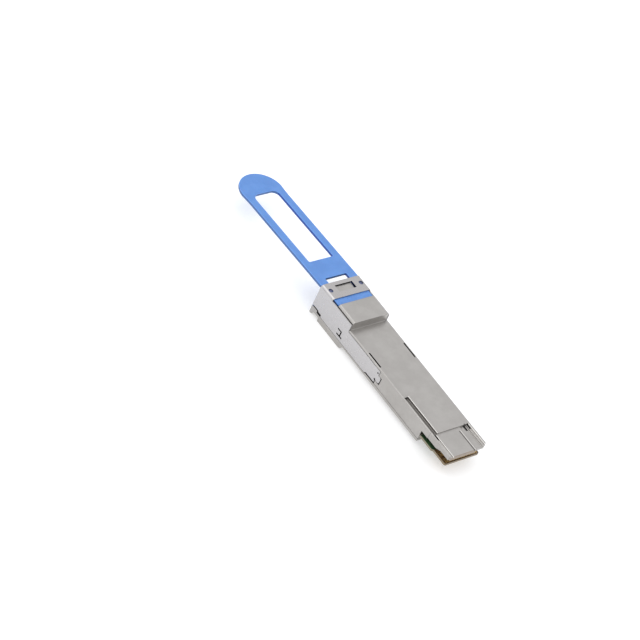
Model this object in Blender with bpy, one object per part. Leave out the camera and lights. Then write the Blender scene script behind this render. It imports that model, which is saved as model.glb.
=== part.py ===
"""Pluggable optical transceiver module with a duplex fibre port and a pull-tab release.

X runs across the module, +Y along it toward the edge connector, +Z up from its flat underside.
The origin is the centre of the flat underside. Sizes below are millimetres; meshes are metres.
"""

import math

import bmesh
import bpy

MM = 0.001

# Overall body, the standard width and height of this module family
HALF_WIDTH = 9.175
BODY_TOP = 8.5
NOSE_TOP = 12.0
NOSE_FRONT = -44.0
STEP_Y = -24.0          # where the raised nose drops to the body
BOTTOM_END = 23.4       # rear end of the side walls and of the bottom cover
LID_END = 28.1          # rear end of the full-height lid
TONGUE_END = 39.05      # tip of the lid's centre plateau over the card edge
RAIL_END = 38.55        # tip of the rails beside it
PLATEAU_Z = 7.9
PLATEAU_LEFT = -4.3
PLATEAU_RIGHT = 7.2
RAIL_INNER = 8.45       # inner side of the rail on the right
EDGE_CHAMFER = 0.3
SEAM_Z = 1.2            # the two housing halves meet here
GAP = 0.05              # running clearance between fitted metal pieces
FIT = 0.1               # clearance round the pieces inside

# Walls and hollows of the housing
NOSE_HALF = 8.5         # nose half width, inside the release arms
NOSE_CHAMFER = 0.65
BLOCK_FRONT = -33.6     # front of the raised block on the nose
ROOF_Z = 9.85           # roof that the pull tab lies on
BOSS_HALF = 3.75
BOSS_REAR = -39.3
BOSS_TOP = 11.35
NOSE_ROOM = 6.2         # half width of the room for the fibre port
NOSE_ROOM_TOP = 8.9
NOSE_ROOM_FLOOR = 0.3
NOSE_ROOM_REAR = -25.2  # the room's full height ends here, inside the raised block
NOSE_ROOM_END = -22.9   # below the lid it runs on into the body
BODY_ROOM = 7.6
BODY_ROOM_TOP = 6.9
BODY_ROOM_FLOOR = 0.9
BODY_ROOM_END = 22.2

# Release slider, one bent sheet
SHEET = 0.45
ARM_INNER = HALF_WIDTH - SHEET
BEND = 1.2
PLATE_REAR = -36.55
ARM_TOP = 11.0
ARM_LOW = 0.85
HOLE_X = 7.2
HOLE_Y = -40.55
HOLE_R = 0.9
TRAVEL = 2.2            # the slider moves this far toward -Y to unlatch

# Pull tab
TAB_THICK = 1.3
TAB_TOP = 11.45
TAB_REAR = -33.7
TAB_NOSE_HALF = 8.25
TAB_HALF = 8.9
TAB_HEAD_R = 9.2
TAB_TIP = -104.0
TAB_DROOP = 2.3         # the tip hangs this much lower than the nose end
TAB_SLOT_HALF = 5.0
TAB_SLOT_FRONT = -46.9
TAB_LOOP_HALF = 5.7
TAB_LOOP_REAR = -56.2
TAB_LOOP_END = -93.4
TAB_LOOP_R = 2.6

# Fibre port and optics
PORT_X = 3.125          # half the standard duplex pitch
PORT_Z = 4.25
PORT_HALF = 2.35
PORT_BACK = -33.5
RECEPTACLE_REAR = -30.5
OPTICS_X = 3.2

# Circuit board
BOARD_LOW = 2.4
BOARD_TOP = 3.4
BOARD_END = 38.0

# Screws and springs
FRONT_SCREW = (7.4, -37.0)
REAR_SCREW = (6.1, 20.6)
SCREW_R = 0.65
SPRING_X = 7.6
SPRING_Z = 3.5
SPRING_R = 0.85         # to the middle of the wire
WIRE_R = 0.15
POCKET_FRONT = -35.1
LUG_Y = -27.5
LANCE_END = -26.55


def clear_scene():
    for thing in list(bpy.data.objects):
        bpy.data.objects.remove(thing, do_unlink=True)


def material(name, colour, roughness, metallic):
    """A plain Principled finish; colour is linear red, green, blue."""
    found = bpy.data.materials.get(name)
    if found:
        return found
    made = bpy.data.materials.new(name)
    made.use_nodes = True
    shader = made.node_tree.nodes["Principled BSDF"]
    shader.inputs["Base Color"].default_value = (*colour, 1.0)
    shader.inputs["Roughness"].default_value = roughness
    shader.inputs["Metallic"].default_value = metallic
    return made


def add_object(name, form):
    """Turns a bmesh in millimetres into a named object in metres."""
    bmesh.ops.recalc_face_normals(form, faces=form.faces)
    bmesh.ops.scale(form, vec=(MM, MM, MM), verts=form.verts)
    mesh = bpy.data.meshes.new(name)
    form.to_mesh(mesh)
    form.free()
    thing = bpy.data.objects.new(name, mesh)
    bpy.context.scene.collection.objects.link(thing)
    return thing


def prism(name, along, outline, low, high):
    """An outline extruded along an axis: (y, z) along x, (x, z) along y, (x, y) along z."""
    place = {
        "x": lambda a, b, d: (d, a, b),
        "y": lambda a, b, d: (a, d, b),
        "z": lambda a, b, d: (a, b, d),
    }[along]
    form = bmesh.new()
    face = form.faces.new([form.verts.new(place(a, b, low)) for a, b in outline])
    grown = bmesh.ops.extrude_face_region(form, geom=[face])
    raised = [v for v in grown["geom"] if isinstance(v, bmesh.types.BMVert)]
    bmesh.ops.translate(form, vec=place(0, 0, high - low), verts=raised)
    return add_object(name, form)


def box(name, x, y, z):
    """A block between the low and high value on each axis."""
    return prism(name, "z", [(x[0], y[0]), (x[1], y[0]), (x[1], y[1]), (x[0], y[1])], *z)


def turned(name, along, centre, profile, sides=24):
    """A closed profile of (distance along, radius) points turned round an axis through centre."""
    place = {
        "x": lambda a, u, v: (centre[0] + a, centre[1] + u, centre[2] + v),
        "y": lambda a, u, v: (centre[0] + u, centre[1] + a, centre[2] + v),
        "z": lambda a, u, v: (centre[0] + u, centre[1] + v, centre[2] + a),
    }[along]
    form = bmesh.new()
    rings = []
    for a, radius in profile:
        turns = [2 * math.pi * k / sides for k in range(sides)]
        rings.append([form.verts.new(place(a, radius * math.cos(t), radius * math.sin(t))) for t in turns])
    hollow = profile[0] == profile[-1]
    if hollow:
        for v in rings.pop():
            form.verts.remove(v)
        rings.append(rings[0])
    for near, far in zip(rings, rings[1:]):
        for k in range(sides):
            n = (k + 1) % sides
            form.faces.new([near[k], near[n], far[n], far[k]])
    if not hollow:
        form.faces.new(rings[0])
        form.faces.new(rings[-1])
    return add_object(name, form)


def rod(name, along, centre, radius, low, high, sides=24):
    """A round bar between two distances along its axis, measured from centre."""
    return turned(name, along, centre, [(low, radius), (high, radius)], sides)


def combine(target, how, *tools):
    """Boolean modifiers on target, one for each tool; the tools stay as wire guides."""
    for tool in tools:
        step = target.modifiers.new(tool.name, "BOOLEAN")
        step.operation = how
        step.solver = "EXACT"
        step.object = tool
        tool.hide_render = True
        tool.display_type = "WIRE"
    return target


def finish(thing, finish_material):
    thing.data.materials.clear()
    thing.data.materials.append(finish_material)
    return thing


def arc(centre, radius, start, stop, steps):
    """Points of a circular arc between two angles in degrees."""
    angles = [math.radians(start + (stop - start) * k / steps) for k in range(steps + 1)]
    return [(centre[0] + radius * math.cos(a), centre[1] + radius * math.sin(a)) for a in angles]


def mirrored(outline):
    """An outline of right-hand points, low to high, closed by its own mirror image."""
    return outline + [(-a, b) for a, b in reversed(outline)]


def housing_section(half, low, high, chamfer):
    return mirrored([(half, low), (half, high - chamfer), (half - chamfer, high)])


def both_sides(x):
    """The same span of x on the right and on the left."""
    return [x, (-x[1], -x[0])]


def arm_recess(name, side):
    """Room for a release arm and its tip in the side of the body."""
    outline = [
        (STEP_Y - 1, ARM_LOW - FIT),
        (-10.1, ARM_LOW - FIT),
        (-9.3, 1.1),
        (-4.15, 1.1),
        (-4.15, 2.75),
        (-1.8, 2.75),
        (-1.8, 5.85),
        (-3.55, 5.85),
        (-3.55, 7.8),
        (STEP_Y - 1, 7.8),
    ]
    near, far = sorted((side * (ARM_INNER - GAP), side * (HALF_WIDTH + 1)))
    return prism(name, "x", outline, near, far)


def spring_pocket(name, side):
    near, far = sorted((side * 6.55, side * (HALF_WIDTH + 1)))
    return box(name, (near, far), (POCKET_FRONT, -25.4), (2.1, 4.9))


def top_housing(metal):
    """Upper shell: lid, raised nose block, side walls and the tongue over the card edge."""
    low = SEAM_Z + GAP
    body = prism(
        "top_housing", "y", housing_section(HALF_WIDTH, low, BODY_TOP, EDGE_CHAMFER), STEP_Y, TONGUE_END
    )
    nose = prism(
        "nose_form", "y", housing_section(NOSE_HALF, low, NOSE_TOP, NOSE_CHAMFER), NOSE_FRONT + 0.2, STEP_Y
    )
    combine(body, "UNION", nose)
    wide = (-HALF_WIDTH - 1, HALF_WIDTH + 1)
    roof_cut = box("roof_cut", wide, (NOSE_FRONT - 1, BLOCK_FRONT), (ROOF_Z, NOSE_TOP + 1))
    nose_room = box(
        "nose_room", (-NOSE_ROOM, NOSE_ROOM), (NOSE_FRONT - 1, NOSE_ROOM_REAR), (0, NOSE_ROOM_TOP)
    )
    passage = box(
        "optics_passage", (-NOSE_ROOM, NOSE_ROOM), (NOSE_ROOM_REAR - 1, NOSE_ROOM_END), (0, BODY_ROOM_TOP)
    )
    body_room = box(
        "body_room", (-BODY_ROOM, BODY_ROOM), (NOSE_ROOM_END - 1, BODY_ROOM_END), (0, BODY_ROOM_TOP)
    )
    board_slot = box("board_slot", (-BODY_ROOM, BODY_ROOM), (BODY_ROOM_END - 1, 30), (0, 3.6))
    under_tongue = [(BOTTOM_END, 0), (BOTTOM_END, 5.5), (31.9, 5.5), (34.2, 6.4), (41, 6.4), (41, 0)]
    tongue_cut = prism("tongue_cut", "x", under_tongue, *wide)
    combine(body, "DIFFERENCE", roof_cut, nose_room, passage, body_room, board_slot, tongue_cut)

    boss = box(
        "roof_boss", (-BOSS_HALF, BOSS_HALF), (NOSE_FRONT + 0.2, BOSS_REAR), (ROOF_Z - 0.5, BOSS_TOP)
    )
    pedestal = box("chip_pedestal", (-5, 5), (-1.5, 10.5), (5.9, BODY_ROOM_TOP + 0.5))
    combine(body, "UNION", boss, pedestal)
    for number, side in enumerate((1, -1)):
        x, y = REAR_SCREW
        post = rod(f"screw_post_{number}", "z", (side * x, y, 0), 1.45, low, BODY_ROOM_TOP + 0.5)
        combine(body, "UNION", post)

    deck = BODY_TOP + 1
    left_tip = [
        (-3.4, TONGUE_END),
        (PLATEAU_LEFT, RAIL_END),
        (-8.05, RAIL_END),
        (-11, 36.3),
        (-11, 42),
        (-3.4, 42),
    ]
    combine(
        body,
        "DIFFERENCE",
        box("plateau_cut", (PLATEAU_LEFT, PLATEAU_RIGHT), (LID_END, 41), (PLATEAU_Z, deck)),
        box("plateau_groove", (-3.3, -2.75), (29.6, 41), (PLATEAU_Z - 0.15, deck)),
        box("lid_channel", (6.65, RAIL_INNER), (10.1, LID_END), (7.45, deck)),
        box("right_channel", (PLATEAU_RIGHT, RAIL_INNER), (LID_END, 41), (7.45, deck)),
        box("right_pocket", (PLATEAU_RIGHT, RAIL_INNER), (LID_END - 0.4, 30.3), (6.9, deck)),
        box("right_rail_side", (9.0, 11), (27.0, 41), (0, deck)),
        box("right_rail_end", (RAIL_INNER, 11), (RAIL_END, 41), (0, deck)),
        box("left_channel", (-7.35, PLATEAU_LEFT), (LID_END, 41), (7.35, deck)),
        box("left_ledge", (-8.05, -7.35), (LID_END, 41), (7.85, deck)),
        box("left_pocket_inner", (-7.0, -6.2), (LID_END - 0.4, 30.1), (6.9, deck)),
        box("left_pocket_outer", (-8.05, -7.65), (LID_END - 0.4, 30.1), (6.9, deck)),
        prism("left_rail_end", "z", left_tip, 0, deck),
    )
    for number, side in enumerate((1, -1)):
        slot_x = both_sides((8.1, 8.5))[number]
        x, y = FRONT_SCREW
        rear_x, rear_y = REAR_SCREW
        combine(
            body,
            "DIFFERENCE",
            box(f"lid_slot_{number}", slot_x, (-12.3, -5.1), (7.0, deck)),
            arm_recess(f"top_recess_{number}", side),
            spring_pocket(f"pocket_{number}", side),
            rod(f"front_thread_{number}", "z", (side * x, y, 0), SCREW_R + 0.1, 0, 5.6, 16),
            rod(f"rear_thread_{number}", "z", (side * rear_x, rear_y, 0), SCREW_R + 0.1, 0, 5.6, 16),
        )
    return finish(body, metal)


def countersink(name, x, y, face_z):
    """Clearance hole with a conical seat for a screw head."""
    profile = [(-1, 1.3), (0, 1.3), (0.65, 0.8), (4, 0.8)]
    return turned(name, "z", (x, y, face_z), profile, 16)


def bottom_housing(metal):
    """Lower cover: floor, seating flange with its latch groove under the nose, and front cheeks."""
    outline = [
        (NOSE_FRONT, -1.8),
        (-42.9, -1.8),
        (-42.1, -0.4),
        (-39.5, -0.25),
        (-39.0, -0.6),
        (-38.85, -1.8),
        (-25.1, -1.8),
        (-24.4, -1.35),
        (-23.4, 0.0),
        (BOTTOM_END, 0.0),
        (BOTTOM_END, SEAM_Z),
        (-40.65, SEAM_Z),
        (-40.75, 1.65),
        (NOSE_FRONT, 1.65),
    ]
    body = prism("bottom_housing", "x", outline, -HALF_WIDTH, HALF_WIDTH)
    combine(
        body,
        "DIFFERENCE",
        box("cheek_gap", (-NOSE_HALF - GAP, NOSE_HALF + GAP), (-45, -38), (SEAM_Z, 3)),
        box("nose_floor", (-NOSE_ROOM, NOSE_ROOM), (-45, NOSE_ROOM_END), (NOSE_ROOM_FLOOR, 2)),
        box("body_floor", (-BODY_ROOM, BODY_ROOM), (NOSE_ROOM_END - 1, BODY_ROOM_END), (BODY_ROOM_FLOOR, 2)),
    )
    for number, side in enumerate((1, -1)):
        x, y = REAR_SCREW
        post = rod(f"floor_post_{number}", "z", (side * x, y, 0), 1.45, BODY_ROOM_FLOOR - 0.3, SEAM_Z)
        rests = [
            box(f"board_rest_{number}{k}", both_sides((6.2, 7.5))[number], (y0, y0 + 2.4), (0.5, BOARD_LOW - FIT))
            for k, y0 in enumerate((-11.5, 12.5))
        ]
        combine(body, "UNION", post, *rests)
    for number, side in enumerate((1, -1)):
        arm_gap = both_sides((ARM_INNER - GAP, HALF_WIDTH + 1))[number]
        x, y = FRONT_SCREW
        rear_x, rear_y = REAR_SCREW
        combine(
            body,
            "DIFFERENCE",
            box(f"arm_gap_{number}", arm_gap, (-40.65, STEP_Y), (ARM_LOW - FIT, 2)),
            arm_recess(f"bottom_recess_{number}", side),
            countersink(f"front_hole_{number}", side * x, y, -1.8),
            countersink(f"rear_hole_{number}", side * rear_x, rear_y, 0),
        )
    return finish(body, metal)


def release_slider(metal):
    """Bent sheet: a bridge plate over the pull tab and an arm down each side to the latch tip."""
    bridge_outer = mirrored([(HALF_WIDTH, 2.15)] + arc((HALF_WIDTH - BEND, NOSE_TOP - BEND), BEND, 0, 90, 6))
    bridge_inner = mirrored(
        [(ARM_INNER, 2.0)] + arc((HALF_WIDTH - BEND, NOSE_TOP - BEND), BEND - SHEET, 0, 90, 6)
    )
    slider = prism("release_slider", "y", bridge_outer, NOSE_FRONT, PLATE_REAR)
    combine(slider, "DIFFERENCE", prism("under_bridge", "y", bridge_inner, NOSE_FRONT - 1, PLATE_REAR + 1))
    arm = [
        (NOSE_FRONT, 2.15),
        (-40.3, 2.15),
        (-40.0, 1.75),
        (-38.4, 1.75),
        (-38.25, ARM_LOW),
        (-10.2, ARM_LOW),
        (-9.2, 1.65),
        (-4.4, 1.65),
        (-4.4, 2.9),
        (-2.5, 2.9),
        (-2.1, 3.5),
        (-2.1, 5.3),
        (-2.5, 5.7),
        (-3.75, 5.7),
        (-3.75, 7.7),
        (STEP_Y - GAP, 7.7),
        (STEP_Y - GAP, ARM_TOP),
        (-36.9, ARM_TOP),
        (-37.3, 10.6),
        (NOSE_FRONT, 10.6),
    ]
    for number, side in enumerate((1, -1)):
        near, far = both_sides((ARM_INNER, HALF_WIDTH))[number]
        lug = box(f"spring_lug_{number}", both_sides((6.9, 8.9))[number], (LUG_Y, LUG_Y + 0.4), (2.75, 4.3))
        combine(slider, "UNION", prism(f"arm_{number}", "x", arm, near, far), lug)
    for number, side in enumerate((1, -1)):
        through = both_sides((ARM_INNER - 0.3, HALF_WIDTH + 1))[number]
        low, high = sorted((side * (ARM_INNER - 1), side * (HALF_WIDTH + 1)))
        combine(
            slider,
            "DIFFERENCE",
            box(f"lance_top_{number}", through, (-28.9, LANCE_END), (4.35, 4.9)),
            box(f"lance_end_{number}", through, (LUG_Y + 0.4, LANCE_END), (2.3, 4.9)),
            box(f"lance_low_{number}", through, (-28.65, -25.5), (2.1, 2.7)),
            rod(f"tip_relief_{number}", "x", (0, -4.4, 6.35), 0.36, low, high, 12),
            box(f"tip_notch_{number}", through, (-4.95, -4.2), (2.6, 3.4)),
            rod(f"post_hole_{number}", "z", (side * HOLE_X, HOLE_Y, 0), HOLE_R, 11, 13),
        )
    window = box("boss_window", (-4.1, 4.1), (-42.35, -39.2), (11.2, 13))
    combine(slider, "DIFFERENCE", window)
    return finish(slider, metal)


def tab_height(y):
    """Top of the pull tab: level under the bridge plate, then sloping straight down to its tip."""
    return TAB_TOP - TAB_DROOP * max(0.0, NOSE_FRONT - y) / (NOSE_FRONT - TAB_TIP)


def pull_tab(plastic):
    """Moulded strap: crossbar and posts under the bridge plate, finger loop and rounded head."""
    top = [(y, tab_height(y)) for y in (TAB_REAR, NOSE_FRONT, TAB_TIP - 0.5)]
    low = [(y, z - TAB_THICK) for y, z in reversed(top)]
    tab = prism("pull_tab", "x", top + low, -HALF_WIDTH, HALF_WIDTH)
    head_y = TAB_TIP + TAB_HEAD_R
    side = [
        (TAB_NOSE_HALF, TAB_REAR + 0.5),
        (TAB_NOSE_HALF, NOSE_FRONT + 0.3),
        (TAB_HALF, NOSE_FRONT - 0.6),
        (TAB_HALF, head_y + 5.0),
        (TAB_HALF + 0.1, head_y + 2.5),
    ]
    head = arc((0, head_y), TAB_HEAD_R, 0, -90, 18)
    plan = prism("tab_plan", "z", mirrored(side + head[:-1] + [(0.6, TAB_TIP)]), 0, 14)
    combine(tab, "INTERSECT", plan)
    corner = arc((TAB_LOOP_HALF - TAB_LOOP_R, TAB_LOOP_END + TAB_LOOP_R), TAB_LOOP_R, 0, -90, 7)
    loop = prism("finger_loop", "z", mirrored([(TAB_LOOP_HALF, TAB_LOOP_REAR)] + corner), 0, 14)
    slot_rear = BOSS_REAR + TRAVEL + FIT
    slot = box("boss_slot", (-TAB_SLOT_HALF, TAB_SLOT_HALF), (TAB_SLOT_FRONT, slot_rear), (0, 14))
    combine(tab, "DIFFERENCE", loop, slot)
    for number, side_x in enumerate((HOLE_X, -HOLE_X)):
        post = rod(f"tab_post_{number}", "z", (side_x, HOLE_Y, 0), HOLE_R - FIT, TAB_TOP - 0.5, NOSE_TOP - 0.25)
        combine(tab, "UNION", post)
    return finish(tab, plastic)


def receptacle(plastic):
    """Duplex fibre port: two square bores with latch slots, and holes for the ferrule sleeves."""
    edge = NOSE_ROOM - FIT
    body = box(
        "receptacle_housing",
        (-edge, edge),
        (NOSE_FRONT + 0.4, RECEPTACLE_REAR),
        (NOSE_ROOM_FLOOR + FIT, NOSE_ROOM_TOP - FIT),
    )
    for number, x in enumerate((PORT_X, -PORT_X)):
        combine(
            body,
            "DIFFERENCE",
            box(
                f"port_{number}",
                (x - PORT_HALF, x + PORT_HALF),
                (NOSE_FRONT - 1, PORT_BACK),
                (PORT_Z - PORT_HALF, PORT_Z + PORT_HALF),
            ),
            box(f"latch_slot_{number}", (x - 1.6, x + 1.6), (NOSE_FRONT - 1, PORT_BACK), (PORT_Z, 8.2)),
            rod(f"sleeve_hole_{number}", "y", (x, 0, PORT_Z), 1.35, PORT_BACK - 1, RECEPTACLE_REAR + 1, 20),
        )
    return finish(body, plastic)


def sleeve(name, x, ceramic):
    """Split-free alignment sleeve that the plug's ferrule slides into."""
    tube = [(-39.0, 0.65), (-39.0, 1.25), (-29.55, 1.25), (-29.55, 0.65), (-39.0, 0.65)]
    return finish(turned(name, "y", (x, 0, PORT_Z), tube, 20), ceramic)


def port_gasket(foam):
    """Shielding gasket pressed against the rear of the fibre port."""
    body = box("port_gasket", (-6.0, 6.0), (-30.4, -29.7), (0.6, 8.6))
    for number, x in enumerate((PORT_X, -PORT_X)):
        combine(body, "DIFFERENCE", rod(f"gasket_hole_{number}", "y", (x, 0, PORT_Z), 1.5, -31, -29, 20))
    return finish(body, foam)


def barrel(name, x, metal):
    """Flanged nose of an optical assembly, in line with its port."""
    profile = [(-29.45, 2.2), (-28.6, 2.2), (-28.6, 1.8), (-25.6, 1.8), (-25.3, 2.05), (-24.1, 2.05)]
    return finish(turned(name, "y", (x, 0, PORT_Z), profile, 24), metal)


def optics_clamp(metal):
    """Bridge over both barrels that holds them down in the nose."""
    body = box("optics_clamp", (-6.0, 6.0), (-27.8, -26.2), (4.7, 8.7))
    for number, x in enumerate((PORT_X, -PORT_X)):
        combine(body, "DIFFERENCE", rod(f"clamp_arch_{number}", "y", (x, 0, PORT_Z), 1.95, -29, -25, 24))
    return finish(body, metal)


def optics_package(name, x, metal):
    """Sealed metal box of lasers or detectors with a ledge at its rear for the flex circuit."""
    body = box(name, (x - 2.7, x + 2.7), (-24.0, -14.4), (1.3, 6.2))
    ledge = box(f"{name}_ledge", (x - 3, x + 3), (-15.6, -14), (4.4, 7))
    combine(body, "DIFFERENCE", ledge)
    return finish(body, metal)


def flex(name, x, film):
    """Thin flexible circuit stepping down from the optics ledge to pads on the board."""
    path = [(-15.3, 4.52), (-14.0, 4.52)]
    drop = 4.52 - (BOARD_TOP + 0.12)
    for k in range(1, 8):
        t = k / 8
        path.append((-14.0 + 2.4 * t, 4.52 - drop * (1 - math.cos(math.pi * t)) / 2))
    path += [(-11.6, 4.52 - drop), (-9.9, 4.52 - drop)]
    outline = [(y, z + 0.05) for y, z in path] + [(y, z - 0.05) for y, z in reversed(path)]
    return finish(prism(name, "x", outline, x - 2.1, x + 2.1), film)


def main_board(laminate):
    """Circuit board whose rear edge is the connector; it widens behind the housing."""
    half = [
        (7.35, -13.0),
        (7.35, 23.5),
        (8.8, 23.8),
        (8.8, 30.3),
        (8.2, 30.9),
        (8.2, BOARD_END - 0.5),
        (7.7, BOARD_END),
    ]
    board = prism("main_board", "z", mirrored(half), BOARD_LOW, BOARD_TOP)
    for number, side in enumerate((1, -1)):
        x, y = REAR_SCREW
        combine(board, "DIFFERENCE", rod(f"board_notch_{number}", "z", (side * x, y, 0), 1.6, 0, 5))
        outer = both_sides((6.0, 9))[number]
        combine(board, "DIFFERENCE", box(f"board_side_{number}", outer, (y - 1.6, y + 0.01), (0, 5)))
    return finish(board, laminate)


def chip(name, x, y, size, finish_material):
    """A component soldered flat on the board, given its centre and its width, length and height."""
    low = BOARD_TOP + 0.06
    half_x, half_y = size[0] / 2, size[1] / 2
    body = box(name, (x - half_x, x + half_x), (y - half_y, y + half_y), (low, low + size[2]))
    return finish(body, finish_material)


def screw(name, x, y, face_z, steel):
    """Countersunk screw driven up from the underside, with a hexagon socket."""
    profile = [(0.05, 1.2), (0.65, SCREW_R), (0.75, SCREW_R), (5.2 - face_z, SCREW_R), (5.4 - face_z, 0.45)]
    body = turned(name, "z", (x, y, face_z), profile, 18)
    socket = rod(f"{name}_socket", "z", (x, y, face_z), 0.42, -0.2, 0.75, 6)
    combine(body, "DIFFERENCE", socket)
    return finish(body, steel)


def return_spring(name, x, wire):
    """Compression spring between the pocket's front wall and the slider's lug."""
    start = POCKET_FRONT + FIT + WIRE_R
    end = LUG_Y - FIT - WIRE_R
    turns = 7
    steps = 14 * turns
    curve = bpy.data.curves.new(name, "CURVE")
    curve.dimensions = "3D"
    line = curve.splines.new("POLY")
    line.points.add(steps)
    for k in range(steps + 1):
        t = k / steps
        ease = t + 0.06 * math.sin(4 * math.pi * t) / 2
        angle = 2 * math.pi * turns * t
        place = (x + SPRING_R * math.cos(angle), start + (end - start) * ease, SPRING_Z + SPRING_R * math.sin(angle))
        line.points[k].co = (*[value * MM for value in place], 1)
    curve.bevel_depth = WIRE_R * MM
    curve.bevel_resolution = 1
    curve.use_fill_caps = True
    spring = bpy.data.objects.new(name, curve)
    bpy.context.scene.collection.objects.link(spring)
    return finish(spring, wire)


def build():
    clear_scene()
    die_cast = material("plated_die_cast", (0.46, 0.435, 0.41), 0.38, 0.9)
    sheet = material("stainless_sheet", (0.58, 0.575, 0.59), 0.3, 0.95)
    blue = material("blue_plastic", (0.145, 0.34, 0.8), 0.42, 0.0)
    dark = material("dark_plastic", (0.03, 0.03, 0.033), 0.5, 0.0)
    green = material("board_laminate", (0.03, 0.16, 0.05), 0.45, 0.0)
    package = material("chip_package", (0.02, 0.02, 0.022), 0.4, 0.0)
    gold = material("gold_plate", (0.7, 0.48, 0.2), 0.25, 1.0)
    film = material("flex_film", (0.5, 0.23, 0.05), 0.35, 0.0)
    pad = material("thermal_pad", (0.35, 0.42, 0.5), 0.8, 0.0)
    foam = material("shielding_foam", (0.12, 0.12, 0.13), 0.7, 0.3)
    ceramic = material("zirconia", (0.85, 0.84, 0.8), 0.25, 0.0)
    steel = material("screw_steel", (0.4, 0.4, 0.42), 0.3, 1.0)
    wire = material("spring_wire", (0.5, 0.5, 0.5), 0.3, 1.0)

    top_housing(die_cast)
    bottom_housing(die_cast)
    release_slider(sheet)
    pull_tab(blue)
    receptacle(dark)
    port_gasket(foam)
    optics_clamp(die_cast)
    for side_name, side in (("right", 1), ("left", -1)):
        sleeve(f"ferrule_sleeve_{side_name}", side * PORT_X, ceramic)
        return_spring(f"return_spring_{side_name}", side * SPRING_X, wire)
    for role, side in (("transmitter", 1), ("receiver", -1)):
        barrel(f"{role}_barrel", side * PORT_X, gold)
        optics_package(f"{role}_optics", side * OPTICS_X, gold)
        flex(f"{role}_flex", side * OPTICS_X, film)
    finish(box("optics_thermal_pad", (0.8, 5.6), (-22.6, -15.9), (6.25, 6.85)), pad)

    main_board(green)
    chip("signal_processor", 0, 4.5, (9.4, 11.2, 1.35), package)
    finish(box("processor_thermal_pad", (-4.6, 4.6), (-0.9, 9.9), (4.87, 5.85)), pad)
    chip("laser_driver_chip", OPTICS_X, -6.6, (3.6, 3.0, 0.8), package)
    chip("receiver_amplifier_chip", -OPTICS_X, -6.6, (3.6, 3.0, 0.8), package)
    chip("controller_chip", 0, 14.6, (5.0, 5.0, 0.9), package)
    for number, side in enumerate((1, -1), 1):
        chip(f"power_inductor_{number}", side * 5.3, 13.6, (2.6, 2.2, 1.7), dark)

    places = [(*FRONT_SCREW, -1.8), (*REAR_SCREW, 0.0)]
    number = 1
    for x, y, face_z in places:
        for side in (1, -1):
            screw(f"cover_screw_{number}", side * x, y, face_z, steel)
            number += 1


build()
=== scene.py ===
import math
import bmesh
import bpy
import numpy as np
from mathutils import Matrix, Vector


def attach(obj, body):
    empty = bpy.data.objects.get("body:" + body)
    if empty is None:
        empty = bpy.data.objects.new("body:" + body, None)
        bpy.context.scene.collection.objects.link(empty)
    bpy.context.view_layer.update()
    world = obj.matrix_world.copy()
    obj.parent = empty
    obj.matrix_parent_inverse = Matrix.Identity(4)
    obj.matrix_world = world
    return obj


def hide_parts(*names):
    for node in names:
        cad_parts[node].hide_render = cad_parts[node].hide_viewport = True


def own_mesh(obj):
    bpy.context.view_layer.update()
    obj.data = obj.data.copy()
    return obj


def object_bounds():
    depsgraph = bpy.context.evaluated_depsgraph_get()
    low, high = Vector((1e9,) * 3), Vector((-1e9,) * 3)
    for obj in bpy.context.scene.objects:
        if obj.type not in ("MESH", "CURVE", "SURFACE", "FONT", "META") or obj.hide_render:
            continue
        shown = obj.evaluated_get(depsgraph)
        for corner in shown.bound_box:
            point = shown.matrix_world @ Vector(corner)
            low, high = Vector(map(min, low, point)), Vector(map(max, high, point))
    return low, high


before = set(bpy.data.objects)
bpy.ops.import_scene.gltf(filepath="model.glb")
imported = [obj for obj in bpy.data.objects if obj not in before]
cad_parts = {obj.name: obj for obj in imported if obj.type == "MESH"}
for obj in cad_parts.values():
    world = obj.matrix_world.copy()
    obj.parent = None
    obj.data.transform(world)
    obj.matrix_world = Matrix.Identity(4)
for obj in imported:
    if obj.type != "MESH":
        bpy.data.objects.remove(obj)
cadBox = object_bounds()
mm = 0.001
print("frame loaded,", len(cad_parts), "nodes")

cameraLook = {
    "azimuth": 126.313, "elevation": 40.78, "roll": 26.075,   # degrees
    "distance": 943.9,                                        # mm from the aim point
    "aim": (18.39, -30.97, 9.71),                             # mm
    "lens": 148.26, "clip": (0.05, 20),                       # mm, m
}


def aimedMatrix(azimuth, elevation, roll=0.0):
    # columns are right, up and back: back points from the object to the camera, right lies level,
    # then right and up roll about back
    a, e, t = np.radians((azimuth, elevation, roll))
    back = np.array([np.sin(a) * np.cos(e), -np.cos(a) * np.cos(e), np.sin(e)])
    right = np.cross([0, 0, 1], back)
    right /= np.linalg.norm(right)
    up = np.cross(back, right)
    return np.column_stack([np.cos(t) * right + np.sin(t) * up, np.cos(t) * up - np.sin(t) * right, back])


def placeAimed(thing, turn, aim, distance):
    place = Matrix(turn.tolist()).to_4x4()
    place.translation = Vector(((np.array(aim) + turn[:, 2] * distance) * mm).tolist())
    thing.matrix_world = place


def makeCamera(look):
    data = bpy.data.cameras.new("view")
    data.lens = look["lens"]
    data.clip_start, data.clip_end = look["clip"]
    camera = bpy.data.objects.new("view", data)
    bpy.context.scene.collection.objects.link(camera)
    turn = aimedMatrix(look["azimuth"], look["elevation"], look["roll"])
    placeAimed(camera, turn, look["aim"], look["distance"])
    bpy.context.scene.camera = camera


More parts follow.
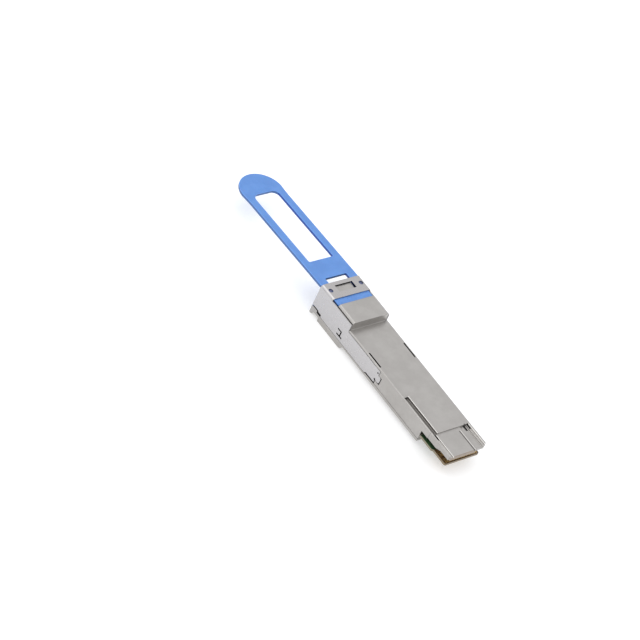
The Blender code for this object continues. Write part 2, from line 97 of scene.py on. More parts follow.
stageLook = {
    "floorTone": (0.66, 0.66, 0.66), "floorGlow": 0.46, "floorSize": 6.0,   # a light table, size in m
    "floorRoughness": 0.9, "floorDrop": 0.02,            # mm below the lowest point
    "worldTone": (0.86, 0.87, 0.9), "worldStrength": 0.72,
    "lampAim": (0, -20, 4),                              # mm
    # name: azimuth, elevation, distance mm, size mm, power W, tint
    "lamps": {
        "key": (60, 45, 900, 1100, 2.5, (1.0, 0.99, 0.97)),
        "overhead": (20, 84, 900, 900, 2.8, (1.0, 1.0, 1.0)),
        "fill": (-60, 40, 900, 700, 0.68, (1.0, 0.99, 0.97)),
        "rear": (-128, 42, 900, 600, 0.8, (1.0, 1.0, 1.0)),
    },
}


def makeStage(look):
    low = cadBox[0][2] - look["floorDrop"] * mm
    half = look["floorSize"] / 2
    corners = [(-half, -half, low), (half, -half, low), (half, half, low), (-half, half, low)]
    floorMesh = bpy.data.meshes.new("floor")
    floorMesh.from_pydata(corners, [], [(0, 1, 2, 3)])
    floor = bpy.data.objects.new("floor", floorMesh)
    bpy.context.scene.collection.objects.link(floor)
    paint = bpy.data.materials.new("paleFloor")
    paint.use_nodes = True
    shader = paint.node_tree.nodes["Principled BSDF"]
    shader.inputs["Base Color"].default_value = (*look["floorTone"], 1)
    shader.inputs["Roughness"].default_value = look["floorRoughness"]
    shader.inputs["Emission Color"].default_value = (1, 1, 1, 1)
    shader.inputs["Emission Strength"].default_value = look["floorGlow"]
    floorMesh.materials.append(paint)
    world = bpy.data.worlds.new("studio")
    world.use_nodes = True
    sky = world.node_tree.nodes["Background"]
    sky.inputs["Color"].default_value = (*look["worldTone"], 1)
    sky.inputs["Strength"].default_value = look["worldStrength"]
    bpy.context.scene.world = world
    for name, (azimuth, elevation, distance, size, power, tint) in look["lamps"].items():
        data = bpy.data.lights.new(name, "AREA")
        data.shape, data.size, data.energy, data.color = "SQUARE", size * mm, power, tint
        lamp = bpy.data.objects.new(name, data)
        bpy.context.scene.collection.objects.link(lamp)
        placeAimed(lamp, aimedMatrix(azimuth, elevation), look["lampAim"], distance)
    bpy.context.scene.view_settings.view_transform = "Standard"


makeCamera(cameraLook)
makeStage(stageLook)
print("camera and stage ready")


class finishMaker:
    # a node material whose patterns are measured in millimetres
    def __init__(self, name, tone, roughness, metallic=0.0, **sockets):
        self.material = bpy.data.materials.new(name)
        self.material.use_nodes = True
        self.tree = self.material.node_tree
        self.shader = self.tree.nodes["Principled BSDF"]
        fixed = {"Base Color": (*tone, 1), "Roughness": roughness, "Metallic": metallic, **sockets}
        self.set(self.shader, fixed)
        self.coords = self.add("ShaderNodeTexCoord")

    def add(self, kind, values=None, **properties):
        node = self.tree.nodes.new(kind)
        for key, value in properties.items():
            setattr(node, key, value)
        self.set(node, values or {})
        return node

    def set(self, node, values):
        for key, value in values.items():
            node.inputs[key].default_value = value

    def link(self, source, node, socket):
        self.tree.links.new(source, node.inputs[socket])

    def space(self, stretch=(1, 1, 1)):
        # object coordinates scaled to millimetres, longer along an axis where stretch is above 1
        mapping = self.add("ShaderNodeMapping", {"Scale": tuple(1000 / s for s in stretch)})
        self.link(self.coords.outputs["Object"], mapping, "Vector")
        return mapping.outputs["Vector"]

    def along(self, axis):
        # one object coordinate, in millimetres
        parts = self.add("ShaderNodeSeparateXYZ")
        self.link(self.space(), parts, "Vector")
        return parts.outputs[axis]

    def facing(self, axis):
        # how much the surface faces along an axis, from -1 to 1
        parts = self.add("ShaderNodeSeparateXYZ")
        self.link(self.coords.outputs["Normal"], parts, "Vector")
        return parts.outputs[axis]

    def math(self, operation, first, second=0.0):
        # each value is a number or another node's output
        node = self.add("ShaderNodeMath", operation=operation)
        for index, value in enumerate((first, second)):
            if isinstance(value, (int, float)):
                node.inputs[index].default_value = value
            else:
                self.link(value, node, index)
        return node.outputs[0]

    def noise(self, size, detail=3.0, stretch=(1, 1, 1), rough=0.55):
        # noise whose features are about size millimetres across
        node = self.add("ShaderNodeTexNoise", {"Scale": 1 / size, "Detail": detail, "Roughness": rough})
        self.link(self.space(stretch), node, "Vector")
        return node.outputs["Fac"]

    def band(self, source, low, high, toLow=0.0, toHigh=1.0):
        # a smooth step of source from low to high
        spans = {1: low, 2: high, 3: toLow, 4: toHigh}
        node = self.add("ShaderNodeMapRange", spans, interpolation_type="SMOOTHSTEP")
        self.link(source, node, 0)
        return node.outputs[0]

    def blend(self, share, low, high):
        # a colour between low and high, each a colour or another node's output
        node = self.add("ShaderNodeMix", data_type="RGBA")
        for index, value in ((6, low), (7, high)):
            if isinstance(value, tuple):
                node.inputs[index].default_value = (*value, 1)
            else:
                self.link(value, node, index)
        self.link(share, node, 0)
        return node.outputs[2]

    def inside(self, box, soft):
        # 1 inside a box of three spans in millimetres, 0 outside, over a soft margin
        share = None
        for axis, (low, high) in zip("XYZ", box):
            place = self.along(axis)
            part = self.math("MULTIPLY", self.band(place, low - soft, low + soft),
                             self.band(place, high - soft, high + soft, 1.0, 0.0))
            share = part if share is None else self.math("MULTIPLY", share, part)
        return share

    def cloudy(self, size, low, high, stretch=(1, 1, 1), detail=3.0):
        # two tones mixed in soft patches of size millimetres
        return self.blend(self.band(self.noise(size, detail, stretch), 0.3, 0.7), low, high)

    def bump(self, height, strength, depth):
        # depth in millimetres; a second call lies over the first
        node = self.add("ShaderNodeBump", {"Strength": strength, "Distance": depth * mm})
        self.link(height, node, "Height")
        if self.shader.inputs["Normal"].links:
            self.link(self.shader.inputs["Normal"].links[0].from_socket, node, "Normal")
        self.link(node.outputs["Normal"], self.shader, "Normal")

    def finish(self, tone, rough=None):
        self.link(tone, self.shader, "Base Color")
        if rough is not None:
            self.link(rough, self.shader, "Roughness")
        return self.material


castLook = {
    "light": (0.445, 0.43, 0.412), "dark": (0.405, 0.39, 0.373), "roughness": (0.30, 0.42),
    "cloud": 6.0, "grain": 0.22, "soft": 0.04,   # mm
    "tipStart": 38.7, "tipFade": 0.2, "tipTone": (0.33, 0.28, 0.235),   # the tongue's end face is warmer
    # tones inside boxes of X, Y and Z spans in mm, each laid over the ones before it
    "cut": (0.19, 0.18, 0.17),   # painted shade on the floors and walls of the channels
    "channelShade": (((6.72, 8.40), (10.0, 28.2), (7.0, 8.2)), ((-3.36, -2.69), (29.5, 39.2), (7.5, 7.86)),
                 ((-4.62, -4.25), (28.0, 39.2), (7.2, 7.5))),
    "highlight": (0.76, 0.74, 0.71),   # painted highlights along the edges of the channel, the tongue's plateau and its rails
    "highlightBoxes": (((6.46, 6.72), (10.0, 28.3), (8.2, 8.6)), ((6.98, 7.22), (28.4, 39.2), (7.6, 8.0)),
                  ((-3.62, -3.36), (29.5, 39.2), (7.8, 8.0)), ((-8.27, -8.02), (28.2, 39.2), (8.1, 8.6)),
                  ((8.44, 8.62), (27.2, 39.2), (8.1, 8.6))),
    "shade": (0.075, 0.072, 0.07),   # behind the release arms and in the pockets under the lid's end
    "shaded": (((-9.13, 9.13), (-43.2, -3.9), (0.62, 7.86)), ((-9.13, 9.13), (-3.9, -1.6), (0.62, 5.7)),
               ((-8.6, 8.6), (27.4, 30.6), (6.4, 7.3))),
    "deepShade": (0.02, 0.02, 0.02),   # painted deep shade behind the arms' lances and in the lid slots, and a painted dark rim round each slot on the lid's top
    "deepShadeBoxes": (((-9.13, 9.13), (-35.2, -25.3), (2.0, 5.0)), ((-8.6, 8.6), (-12.4, -5.0), (6.0, 8.44)),
                  ((7.98, 8.6), (-12.3, -5.1), (8.3, 8.7)), ((-8.6, -7.98), (-12.3, -5.1), (8.3, 8.7))),
}


def castMetal(look):
    # plated die casting: soft cloudy tone and a fine orange-peel grain
    made = finishMaker("castMetal", look["light"], 0.36, 1.0)
    tone = made.cloudy(look["cloud"], look["dark"], look["light"], detail=4)
    tip = made.band(made.along("Y"), look["tipStart"], look["tipStart"] + look["tipFade"])
    tone = made.blend(tip, tone, look["tipTone"])
    # painted shade in the channels, painted highlights on edges, painted shade behind the arms and in the
    # pockets, and painted deep shade in the slots and behind the lances, each over the last
    layers = (("channelShade", "cut"), ("highlightBoxes", "highlight"), ("shaded", "shade"), ("deepShadeBoxes", "deepShade"))
    for boxes, shade in layers:
        for box in look[boxes]:
            tone = made.blend(made.inside(box, look["soft"]), tone, look[shade])
    rough = made.band(made.noise(1.1, 5), 0.3, 0.7, *look["roughness"])
    made.bump(made.noise(look["grain"], 2), 0.12, 0.02)
    return made.finish(tone, rough)


sheetLook = {
    "light": (0.535, 0.525, 0.53), "dark": (0.49, 0.48, 0.485), "roughness": (0.26, 0.36),
    "plate": (0.45, 0.435, 0.43),   # painted shade: a darker tone on upward faces, such as the bridge's flat top
    "streak": 0.09, "streakLength": 30, "soft": 0.03,   # mm, times the streak, mm
    "holeShade": (0.035, 0.035, 0.037),   # painted shade on the walls of the bridge's window, the lance slots and the arms' small holes, in boxes of X, Y and Z spans in mm
    "holeShadeBoxes": (((-4.3, 4.3), (-42.6, -39.0), (11.0, 11.93)), ((-9.12, 9.12), (-29.1, -25.3), (2.0, 5.0)),
                ((-9.12, 9.12), (-4.85, -3.95), (5.9, 6.8))),
}


def sheetMetal(look):
    # rolled stainless: long fine streaks along the module
    made = finishMaker("sheetMetal", look["light"], 0.3, 1.0)
    streaks = made.noise(look["streak"], 3, (1, look["streakLength"], 1))
    tone = made.blend(made.band(streaks, 0.25, 0.75), look["dark"], look["light"])
    # painted shade: upward faces take a darker tone than the sides
    tone = made.blend(made.band(made.facing("Z"), 0.85, 0.98), tone, look["plate"])
    # painted shade on the walls of the holes
    for box in look["holeShadeBoxes"]:
        tone = made.blend(made.inside(box, look["soft"]), tone, look["holeShade"])
    rough = made.band(made.noise(1.6, 4), 0.3, 0.7, *look["roughness"])
    made.bump(streaks, 0.05, 0.01)
    return made.finish(tone, rough)


tabLook = {
    "light": (0.112, 0.275, 0.66), "dark": (0.097, 0.247, 0.61), "roughness": (0.38, 0.5),
    "cloud": 5.0, "grain": 0.12,   # mm
    "bleed": 1.0,   # mm that light spreads under the surface
    "edge": (0.15, 0.345, 0.80), "wall": (0.055, 0.14, 0.37),   # painted highlight on the rounded edges and painted shade on upright faces
    # tones in boxes of X, Y and Z spans in mm: painted shade on an inner wall of the loop and of the slot,
    # and the post tops
    "innerWallShade": (0.008, 0.065, 0.34), "innerSoft": 0.05,
    "innerShadeBoxes": (((-5.95, -5.45), (-94.0, -56.0), (5.0, 14.0)),
                   ((-5.25, -4.75), (-47.2, -36.8), (5.0, 14.0))),
    "post": (0.085, 0.10, 0.19), "postSoft": 0.03,
    "posts": ((-8.2, 8.2), (-41.6, -39.5), (11.47, 12.2)),
}


def tabPlastic(look):
    # moulded thermoplastic elastomer: even colour, fine spark-eroded texture
    made = finishMaker("tabPlastic", look["light"], 0.45,
                       **{"Subsurface Weight": 0.08, "Subsurface Scale": look["bleed"] * mm})
    made.bump(made.noise(look["grain"], 2), 0.15, 0.015)
    rough = made.band(made.noise(0.6, 3), 0.3, 0.7, *look["roughness"])
    tone = made.cloudy(look["cloud"], look["dark"], look["light"])
    # painted highlight on faces turned part way from level, the rounded edges, and painted shade on upright
    # faces
    level = made.math("ABSOLUTE", made.facing("Z"))
    tone = made.blend(made.band(level, 0.93, 0.99, 1.0, 0.0), tone, look["edge"])
    upright = made.band(level, 0.25, 0.6, 1.0, 0.0)
    tone = made.blend(upright, tone, look["wall"])
    # painted shade on the inner walls of the loop and the slot
    for box in look["innerShadeBoxes"]:
        share = made.math("MULTIPLY", upright, made.inside(box, look["innerSoft"]))
        tone = made.blend(share, tone, look["innerWallShade"])
    tone = made.blend(made.inside(look["posts"], look["postSoft"]), tone, look["post"])
    return made.finish(tone, rough)


boardLook = {
    "mask": (0.045, 0.105, 0.04), "maskDark": (0.024, 0.062, 0.026), "cloud": 3.0,   # mm
    "bare": (0.125, 0.068, 0.024), "bareStart": 30.6, "bareEnd": 31.6,               # mm along Y
    "cut": (0.33, 0.295, 0.20), "cutTip": (0.27, 0.175, 0.08), "cutStart": 28.0, "cutEnd": 36.0,
    "fibreTone": 0.5, "fibre": 0.12, "weave": 0.28,   # share of the cut's tone; mm; mm between threads
}


def boardLaminate(look):
    # solder mask over glass laminate: bare and brown toward the edge connector, pale where it is cut
    made = finishMaker("boardLaminate", look["mask"], 0.35, **{"Coat Weight": 0.25, "Coat Roughness": 0.2})
    mask = made.cloudy(look["cloud"], look["maskDark"], look["mask"])
    faces = made.blend(made.band(made.along("Y"), look["bareStart"], look["bareEnd"]), mask, look["bare"])
    level = made.math("ABSOLUTE", made.facing("Z"))
    toTip = made.band(made.along("Y"), look["cutStart"], look["cutEnd"])
    cut = made.blend(toTip, look["cut"], look["cutTip"])
    layers = made.band(made.noise(look["fibre"], 3, (6, 6, 1)), 0.3, 0.7)
    fibres = made.blend(layers, tuple(c * look["fibreTone"] for c in look["cut"]), cut)
    turn = 2 * math.pi / look["weave"]
    across, along = (made.math("SINE", made.math("MULTIPLY", made.along(axis), turn)) for axis in "XY")
    threads = made.math("MULTIPLY", across, along)
    made.bump(threads, 0.1, 0.01)
    return made.finish(made.blend(made.band(level, 0.3, 0.7), fibres, faces))


def plainMetal(name, light, dark, roughness, size, stretch=(1, 1, 1)):
    # metal with a soft variation of tone and gloss, drawn or turned where stretch says
    made = finishMaker(name, light, roughness, 1.0)
    rough = made.band(made.noise(size * 2, 3, stretch), 0.3, 0.7, roughness * 0.8, roughness * 1.2)
    made.bump(made.noise(size * 0.3, 2, stretch), 0.06, 0.01)
    return made.finish(made.cloudy(size, dark, light, stretch), rough)


def plainMoulding(name, light, dark, roughness, grain, depth, **sockets):
    # moulding or film: nearly even tone with a fine surface grain in millimetres
    made = finishMaker(name, light, roughness, **sockets)
    made.bump(made.noise(grain, 2), 0.2, depth)
    rough = made.band(made.noise(grain * 6, 3), 0.3, 0.7, roughness * 0.85, roughness * 1.15)
    return made.finish(made.cloudy(grain * 20, dark, light), rough)


def openFoam(name, light, dark, cell):
    # foam or filled pad: rounded cells pressed into a matte face
    made = finishMaker(name, light, 0.85, **{"Sheen Weight": 0.2})
    cells = made.add("ShaderNodeTexVoronoi", {"Scale": 1 / cell})
    made.link(made.space(), cells, "Vector")
    made.bump(cells.outputs["Distance"], 0.5, 0.06)
    return made.finish(made.blend(made.band(cells.outputs["Distance"], 0.1, 0.7), dark, light))


finishes = {
    "cast": castMetal(castLook),
    "sheet": sheetMetal(sheetLook),
    "tab": tabPlastic(tabLook),
    "board": boardLaminate(boardLook),
    "gold": plainMetal("goldPlate", (0.80, 0.55, 0.22), (0.70, 0.46, 0.17), 0.24, 1.5),
    "wire": plainMetal("springWire", (0.55, 0.55, 0.56), (0.42, 0.42, 0.43), 0.22, 0.4),
    "steel": plainMetal("screwSteel", (0.42, 0.42, 0.44), (0.34, 0.34, 0.36), 0.3, 0.7),
    "solder": plainMetal("tinnedEnds", (0.62, 0.62, 0.60), (0.52, 0.52, 0.50), 0.34, 0.3),
    "port": plainMoulding("portPlastic", (0.022, 0.022, 0.024), (0.016, 0.016, 0.018), 0.42, 0.1, 0.015),
    "chip": plainMoulding("chipEpoxy", (0.028, 0.028, 0.030), (0.020, 0.020, 0.022), 0.6, 0.05, 0.02),
    "ferrite": plainMoulding("ferriteBlock", (0.055, 0.052, 0.05), (0.04, 0.038, 0.036), 0.7, 0.08, 0.03),
    "ceramic": plainMoulding("sleeveCeramic", (0.83, 0.82, 0.78), (0.78, 0.77, 0.73), 0.16, 0.2, 0.002),
    "capacitor": plainMoulding("capacitorCeramic", (0.33, 0.22, 0.13), (0.28, 0.18, 0.10), 0.5, 0.06, 0.01),
    "film": plainMoulding("flexFilm", (0.46, 0.21, 0.045), (0.38, 0.17, 0.035), 0.3, 0.25, 0.01,
                          **{"Coat Weight": 0.3}),
    "foam": openFoam("gasketFoam", (0.13, 0.13, 0.14), (0.05, 0.05, 0.055), 0.18),
    "pad": openFoam("thermalPad", (0.35, 0.42, 0.50), (0.29, 0.35, 0.43), 0.3),
}
print("finishes ready,", len(finishes))


def newPiece(name, mesh, finish):
    # an object at the origin, whose place is in its mesh
    mesh.shade_smooth()
    mesh.materials.clear()
    mesh.materials.append(finishes[finish])
    piece = bpy.data.objects.new(name, mesh)
    bpy.context.scene.collection.objects.link(piece)
    return piece


def settle(piece, body, slot, *nodes):
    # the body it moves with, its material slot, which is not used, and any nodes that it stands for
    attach(piece, body)
    if nodes:
        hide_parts(*nodes)


edgeLook = {
    "mergeGap": 0.001, "flatAngle": 0.6, "sharpAngle": 30.0,   # mm, degrees
    "room": 0.42,   # the most an edge is cut back, as a share of the shortest edge it meets
}


def edgedCopy(node, name, finish, width, segments=2):
    # the node's triangles merged into flat faces; each sharp edge is rounded to width mm, less where
    # the shortest edge at either end leaves no room for it
    shape = bmesh.new()
    shape.from_mesh(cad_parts[node].data)
    bmesh.ops.remove_doubles(shape, verts=shape.verts, dist=edgeLook["mergeGap"] * mm)
    bmesh.ops.dissolve_limit(shape, angle_limit=math.radians(edgeLook["flatAngle"]), verts=shape.verts,
                             edges=shape.edges)
    angles = np.degrees([edge.calc_face_angle(0.0) for edge in shape.edges])
    mesh = bpy.data.meshes.new(name)
    shape.to_mesh(mesh)
    shape.free()
    spots = np.empty(3 * len(mesh.vertices))
    mesh.vertices.foreach_get("co", spots)
    ends = np.empty(2 * len(mesh.edges), int)
    mesh.edges.foreach_get("vertices", ends)
    spots, ends = spots.reshape(-1, 3), ends.reshape(-1, 2)
    lengths = np.linalg.norm(spots[ends[:, 0]] - spots[ends[:, 1]], axis=1)
    shortest = np.full(len(spots), np.inf)
    np.minimum.at(shortest, ends.ravel(), np.repeat(lengths, 2))
    room = edgeLook["room"] * shortest[ends].min(axis=1) / (width * mm)
    weights = np.where(angles > edgeLook["sharpAngle"], np.clip(room, 0, 1), 0)
    mesh.attributes.new("bevel_weight_edge", "FLOAT", "EDGE").data.foreach_set("value", weights)
    piece = newPiece(name, mesh, finish)
    bevel = piece.modifiers.new("edges", "BEVEL")
    bevel.width, bevel.segments, bevel.limit_method = width * mm, segments, "WEIGHT"
    bevel.use_clamp_overlap, bevel.loop_slide = False, False
    piece.modifiers.new("shading", "WEIGHTED_NORMAL").keep_sharp = True
    return piece


# piece: node, body, slot, finish, edge mm, segments
fittedPieces = {
    "upperShell": ("top_housing", "module", "housing_metal", "cast", 0.17, 2),
    "lowerShell": ("bottom_housing", "module", "housing_metal", "cast", 0.10, 2),
    "bentSlider": ("release_slider", "release_slide", "stainless_sheet", "sheet", 0.07, 2),
    "circuitBoard": ("main_board", "module", "board_laminate", "board", 0.05, 2),
    "portBody": ("receptacle_housing", "module", "dark_plastic", "port", 0.15, 2),
    "opticsBridge": ("optics_clamp", "module", "housing_metal", "cast", 0.12, 2),
    "senderBarrel": ("transmitter_barrel", "module", "gold_plate", "gold", 0.08, 2),
    "readerBarrel": ("receiver_barrel", "module", "gold_plate", "gold", 0.08, 2),
    "senderCan": ("transmitter_optics", "module", "gold_plate", "gold", 0.2, 3),
    "readerCan": ("receiver_optics", "module", "gold_plate", "gold", 0.2, 3),
    "processorChip": ("signal_processor", "module", "chip_package", "chip", 0.12, 2),
    "driverChip": ("laser_driver_chip", "module", "chip_package", "chip", 0.08, 2),
    "amplifierChip": ("receiver_amplifier_chip", "module", "chip_package", "chip", 0.08, 2),
    "controllerChip": ("controller_chip", "module", "chip_package", "chip", 0.08, 2),
    "inductorNear": ("power_inductor_1", "module", "dark_plastic", "ferrite", 0.25, 3),
    "inductorFar": ("power_inductor_2", "module", "dark_plastic", "ferrite", 0.25, 3),
    "screwNoseRight": ("cover_screw_1", "module", "screw_steel", "steel", 0.1, 2),
    "screwNoseLeft": ("cover_screw_2", "module", "screw_steel", "steel", 0.1, 2),
    "screwRearRight": ("cover_screw_3", "module", "screw_steel", "steel", 0.1, 2),
    "screwRearLeft": ("cover_screw_4", "module", "screw_steel", "steel", 0.1, 2),
    "opticsPad": ("optics_thermal_pad", "module", "thermal_pad", "pad", 0.15, 2),
    "processorPad": ("processor_thermal_pad", "module", "thermal_pad", "pad", 0.25, 3),
    "portGasket": ("port_gasket", "module", "shielding_foam", "foam", 0.12, 2),
}
for name, (node, body, slot, finish, width, segments) in fittedPieces.items():
    settle(edgedCopy(node, name, finish, width, segments), body, slot, node)
for node in ("transmitter_flex", "receiver_flex"):
    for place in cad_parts[node].material_slots:
        place.material = finishes["film"]
print("shells, board and inner parts ready,", len(fittedPieces))


def ringMesh(name, rings, closed=False):
    # rings is (copies, stations, around, 3) in mm: quads join neighbouring stations; a flat face ends
    # each copy, or its last station meets its first when closed
    copies, stations, around, _ = rings.shape
    index = np.arange(copies * stations * around).reshape(copies, stations, around)
    near = index if closed else index[:, :-1]
    far = np.roll(index, -1, 1) if closed else index[:, 1:]
    faces = np.stack([near, np.roll(near, -1, 2), np.roll(far, -1, 2), far], -1).reshape(-1, 4).tolist()
    if not closed:
        faces += index[:, 0, ::-1].tolist() + index[:, -1].tolist()
    mesh = bpy.data.meshes.new(name)
    mesh.from_pydata((rings.reshape(-1, 3) * mm).tolist(), [], faces)
    shape = bmesh.new()
    shape.from_mesh(mesh)
    bmesh.ops.recalc_face_normals(shape, faces=shape.faces)
    shape.to_mesh(mesh)
    shape.free()
    return mesh


tabShape = {
    "top": 11.45, "thick": 1.3, "droop": 2.3, "fold": -44.0, "rear": -33.7, "tip": -104.0,   # mm
    "noseHalf": 8.25, "half": 8.9, "headRadius": 9.2, "edge": 0.28, "edgeSteps": 4,
    "loopHalf": 5.7, "loopRear": -56.2, "loopEnd": -93.4, "loopCorner": 2.6, "smallCorner": 0.35,
    "slotHalf": 5.0, "slotFront": -46.9, "slotRear": -37.0,
    "postX": 7.2, "postY": -40.55, "postRadius": 0.77, "postLow": 11.2, "postTop": 11.75, "postSides": 32,
}


def arcPoints(centre, radius, start, stop, steps):
    # points round a circle, from start to stop in degrees
    angle = np.radians(np.linspace(start, stop, steps + 1))
    return np.stack([centre[0] + radius * np.cos(angle), centre[1] + radius * np.sin(angle)], -1)


def bothHalves(right):
    # the right half of an outline, rear to front, and its mirror image back to the rear
    return np.concatenate([right, right[::-1] * (-1, 1)])


def tabOutlines(look):
    # clockwise outlines in x and y of the strap, the finger loop and the slot; the strap and the slot
    # have points on the fold
    headY = look["tip"] + look["headRadius"]
    shoulder = look["noseHalf"] + (look["half"] - look["noseHalf"]) / 3
    side = [(look["noseHalf"], look["rear"]), (look["noseHalf"], look["fold"] + 0.3),
            (shoulder, look["fold"]), (look["half"], look["fold"] - 0.6),
            (look["half"], headY + 5.0), (look["half"] + 0.1, headY + 2.5)]
    head = arcPoints((0, headY), look["headRadius"], 0, -90, 24)
    strap = bothHalves(np.concatenate([side, head[:-1]]))
    strap = np.insert(strap, len(strap) // 2, (0, look["tip"]), axis=0)
    half, small, corner = look["loopHalf"], look["smallCorner"], look["loopCorner"]
    loop = bothHalves(np.concatenate([
        arcPoints((half - small, look["loopRear"] - small), small, 90, 0, 4),
        arcPoints((half - corner, look["loopEnd"] + corner), corner, 0, -90, 12)]))
    half = look["slotHalf"]
    slot = bothHalves(np.concatenate([
        arcPoints((half - small, look["slotRear"] - small), small, 90, 0, 4), [(half, look["fold"])],
        arcPoints((half - small, look["slotFront"] + small), small, 0, -90, 4)]))
    return strap, loop, slot


def tabHeight(y, look):
    # level behind the fold, then one straight slope down to the tip
    share = np.maximum(0, look["fold"] - y) / (look["fold"] - look["tip"])
    return look["top"] - look["droop"] * share


def tabMesh(look):
    # a rounded edge profile of inset and depth is carried round each outline; the flat top and underside
    # are then filled between the outlines, with a crease where the slope begins
    quarter = np.radians(np.linspace(0, 90, look["edgeSteps"] + 1))
    inset = look["edge"] * (1 - np.sin(quarter))
    depth = look["edge"] * (1 - np.cos(quarter))
    inset = np.concatenate([inset, inset[::-1]])
    depth = np.concatenate([depth, look["thick"] - depth[::-1]])
    shape = bmesh.new()
    rims, creases, holes = ([], []), ([], []), []
    for outline, sign in zip(tabOutlines(look), (1, -1, -1)):
        ahead = np.roll(outline, -1, 0) - outline
        ahead /= np.linalg.norm(ahead, axis=1, keepdims=True)
        normal = sign * np.stack([ahead[:, 1], -ahead[:, 0]], -1)
        before = np.roll(normal, 1, 0)
        inward = (normal + before) / (1 + np.sum(normal * before, axis=1, keepdims=True))
        flat = outline[None] + inset[:, None, None] * inward[None]
        height = tabHeight(flat[..., 1], look) - depth[:, None]
        grid = np.concatenate([flat, height[..., None]], -1)
        verts = [[shape.verts.new(spot) for spot in ring] for ring in (grid * mm).tolist()]
        count = len(outline)
        for near, far in zip(verts, verts[1:]):
            for k in range(count):
                shape.faces.new((near[k], near[(k + 1) % count], far[(k + 1) % count], far[k]))
        onFold = np.flatnonzero(np.abs(outline[:, 1] - look["fold"]) < 1e-6)
        for rim, crease, ring in zip(rims, creases, (verts[0], verts[-1])):
            rim += [shape.edges.get((ring[k], ring[(k + 1) % count])) for k in range(count)]
            crease += [ring[k] for k in onFold]
            holes += [set(ring)] if sign < 0 else []
    for rim, crease in zip(rims, creases):
        right, left = ([v for v in crease if v.co.x * side > 0] for side in (1, -1))
        rim += [shape.edges.new(right), shape.edges.new(left)]
        filled = bmesh.ops.triangle_fill(shape, use_beauty=True, edges=rim, normal=(0, 0, 1))["geom"]
        faces = [part for part in filled if isinstance(part, bmesh.types.BMFace)]
        inHole = [face for face in faces if any(hole.issuperset(face.verts) for hole in holes)]
        bmesh.ops.delete(shape, geom=inHole, context="FACES")
    bmesh.ops.recalc_face_normals(shape, faces=shape.faces)
    mesh = bpy.data.meshes.new("mouldedTab")
    shape.to_mesh(mesh)
    shape.free()
    return mesh


def postMesh(look):
    # staked posts: a low dome turned about each post's axis
    rise = np.array([0, 0.55, 0.8, 0.95, 1.0])
    radius = look["postRadius"] * np.array([1, 1, 0.93, 0.75, 0.4])
    angle = np.linspace(0, 2 * np.pi, look["postSides"], endpoint=False)
    z = look["postLow"] + (look["postTop"] - look["postLow"]) * rise
    ring = np.stack([np.outer(radius, np.cos(angle)), look["postY"] + np.outer(radius, np.sin(angle)),
                     np.repeat(z[:, None], len(angle), 1)], -1)
    return ringMesh("tabPosts", np.stack([ring + (side * look["postX"], 0, 0) for side in (1, -1)]))


tab = newPiece("mouldedTab", tabMesh(tabShape), "tab")
tab.modifiers.new("shading", "WEIGHTED_NORMAL").keep_sharp = True
settle(tab, "release_slide", "blue_plastic", "pull_tab")
settle(newPiece("tabPosts", postMesh(tabShape), "tab"), "release_slide", "blue_plastic")
print("pull tab ready")

sleeveLook = {
    "centreX": 3.125, "centreZ": 4.25, "front": -39.0, "rear": -29.55,   # mm
    "bore": 0.65, "outside": 1.25, "leadIn": 0.3, "round": 0.12, "sides": 48,
}


def sleeveMesh(name, side, look):
    # a closed profile of radius and length, turned about the sleeve's own axis
    bore, outside, leadIn, lip = look["bore"], look["outside"], look["leadIn"], look["round"]
    front, rear = look["front"], look["rear"]
    radius = np.array([bore, bore + leadIn, outside - lip, outside, outside, outside - lip, bore + lip, bore])
    length = np.array([front + leadIn, front, front, front + lip, rear - lip, rear, rear, rear - lip])
    angle = np.linspace(0, 2 * np.pi, look["sides"], endpoint=False)
    r, a = np.meshgrid(radius, angle, indexing="ij")
    y = np.broadcast_to(length[:, None], r.shape)
    rings = np.stack([side * look["centreX"] + r * np.cos(a), y, look["centreZ"] + r * np.sin(a)], -1)
    return ringMesh(name, rings[None], closed=True)


springLook = {
    "centreX": 7.6, "centreZ": 3.5, "front": -34.85, "length": 7.1, "turns": 7, "radius": 0.85,   # mm
    "wire": 0.14, "endTurns": 0.06, "perTurn": 28, "around": 10, "fixedY": -35.0, "travel": 2.2,
}


def springMesh(name, side, look):
    # a round wire carried along a helix whose pitch closes up toward both ends
    count = look["turns"] * look["perTurn"] + 1
    t = np.linspace(0, 1, count)
    turn = 2 * np.pi * look["turns"] * t
    outward = np.stack([side * np.cos(turn), 0 * turn, np.sin(turn)], -1)
    eased = t - look["endTurns"] * np.sin(2 * np.pi * t) / 2
    path = outward * look["radius"]
    path[:, 1] = look["front"] + look["length"] * eased
    path += np.array([side * look["centreX"], 0, look["centreZ"]])
    tangent = np.gradient(path, axis=0)
    tangent /= np.linalg.norm(tangent, axis=1, keepdims=True)
    across = np.cross(tangent, outward)
    a = np.linspace(0, 2 * np.pi, look["around"], endpoint=False)
    loop = np.cos(a)[None, :, None] * outward[:, None] + np.sin(a)[None, :, None] * across[:, None]
    return ringMesh(name, (path[:, None] + look["wire"] * loop)[None])


for side, word in ((1, "right"), (-1, "left")):
    sleeve = newPiece(word + "Sleeve", sleeveMesh(word + "Sleeve", side, sleeveLook), "ceramic")
    settle(sleeve, "module", "zirconia", "ferrule_sleeve_" + word)
    spring = newPiece(word + "Spring", springMesh(word + "Spring", side, springLook), "wire")
    settle(spring, "module", "spring_wire", "return_spring_" + word)
    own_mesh(spring)
print("sleeves and springs ready")

contactLook = {
    "perRow": 19, "pitch": 0.8, "width": 0.46, "proud": 0.03, "sunk": 0.02,   # mm
    "chamfer": 0.012, "rows": ((35.5, 37.5), (32.1, 34.5)), "boardTop": 3.4, "boardLow": 2.4,
}


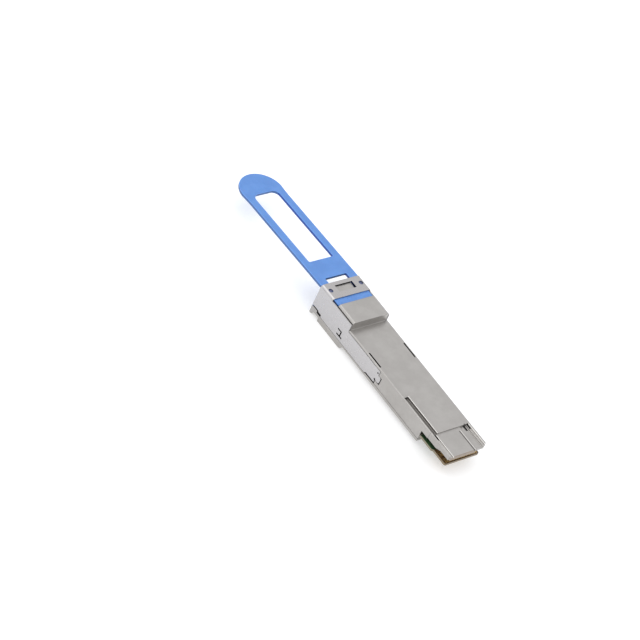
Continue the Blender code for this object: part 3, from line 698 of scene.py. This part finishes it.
def barRings(centre, half, chamfer):
    # bars along Y: a chamfered rectangle in X and Z carried through four stations, drawn in at both ends
    x, z = np.array([[1, 1], [1, -1], [-1, -1], [-1, 1]], float).T
    ringX = np.stack([x * half[0] - np.sign(x) * chamfer, x * half[0]], -1)
    ringZ = np.stack([z * half[2], z * half[2] - np.sign(z) * chamfer], -1)
    swap = (x * z) < 0   # keeps the eight points in order round the loop
    ringX[swap], ringZ[swap] = ringX[swap][:, ::-1], ringZ[swap][:, ::-1]
    loop = np.stack([ringX.ravel(), ringZ.ravel()], -1)
    along = np.array([-half[1], chamfer - half[1], half[1] - chamfer, half[1]])
    scale = np.array([1 - chamfer / half[0], 1, 1, 1 - chamfer / half[0]])
    flat = np.array([1 - chamfer / half[2], 1, 1, 1 - chamfer / half[2]])
    section = np.empty((4, 8, 3))
    section[..., 0], section[..., 2] = scale[:, None] * loop[:, 0], flat[:, None] * loop[:, 1]
    section[..., 1] = along[:, None]
    return centre[:, None, None, :] + section


def evenSteps(count, pitch):
    # places pitch apart, centred on zero
    return (np.arange(count) - (count - 1) / 2) * pitch


def contactMesh(look):
    # a bar for every contact, row by row, sunk into both faces of the board
    lift = (look["proud"] - look["sunk"]) / 2
    half = (look["proud"] + look["sunk"]) / 2
    faces = [look["boardTop"] + lift, look["boardLow"] - lift]
    gridX, gridZ = np.meshgrid(evenSteps(look["perRow"], look["pitch"]), faces)
    rings = []
    for start, end in look["rows"]:
        centre = np.stack([gridX.ravel(), np.full(gridX.size, (start + end) / 2), gridZ.ravel()], -1)
        rings.append(barRings(centre, (look["width"] / 2, (end - start) / 2, half), look["chamfer"]))
    return ringMesh("goldContacts", np.concatenate(rings))


settle(newPiece("goldContacts", contactMesh(contactLook), "gold"), "module", "gold_plate")

capacitorLook = {
    "columns": 8, "pitch": 1.9, "rows": (25.6, 28.0), "size": (0.5, 1.0, 0.42), "under": 2.4,   # mm
    "end": 0.24, "inset": 0.02, "bodyChamfer": 0.03, "endChamfer": 0.05,                        # mm
}


def capacitorMeshes(look):
    # pairs of tinned ends and the ceramic between them, hanging under the board
    gridX, gridY = np.meshgrid(evenSteps(look["columns"], look["pitch"]), look["rows"])
    width, length, height = look["size"]
    end, inset = look["end"], look["inset"]
    centre = np.stack([gridX.ravel(), gridY.ravel(), np.full(gridX.size, look["under"] - height / 2)], -1)
    inner = (width / 2 - inset, length / 2 - end / 2, height / 2 - inset)
    offset = np.array([0, (length - end) / 2, 0])
    outer = np.concatenate([centre - offset, centre + offset])
    bodies = barRings(centre, inner, look["bodyChamfer"])
    ends = barRings(outer, (width / 2, end / 2, height / 2), look["endChamfer"])
    return ringMesh("capacitorBodies", bodies), ringMesh("capacitorEnds", ends)


bodies, ends = capacitorMeshes(capacitorLook)
settle(newPiece("capacitorBodies", bodies, "capacitor"), "module", "dark_plastic")
settle(newPiece("capacitorEnds", ends, "solder"), "module", "screw_steel")
print("contacts and capacitors ready")
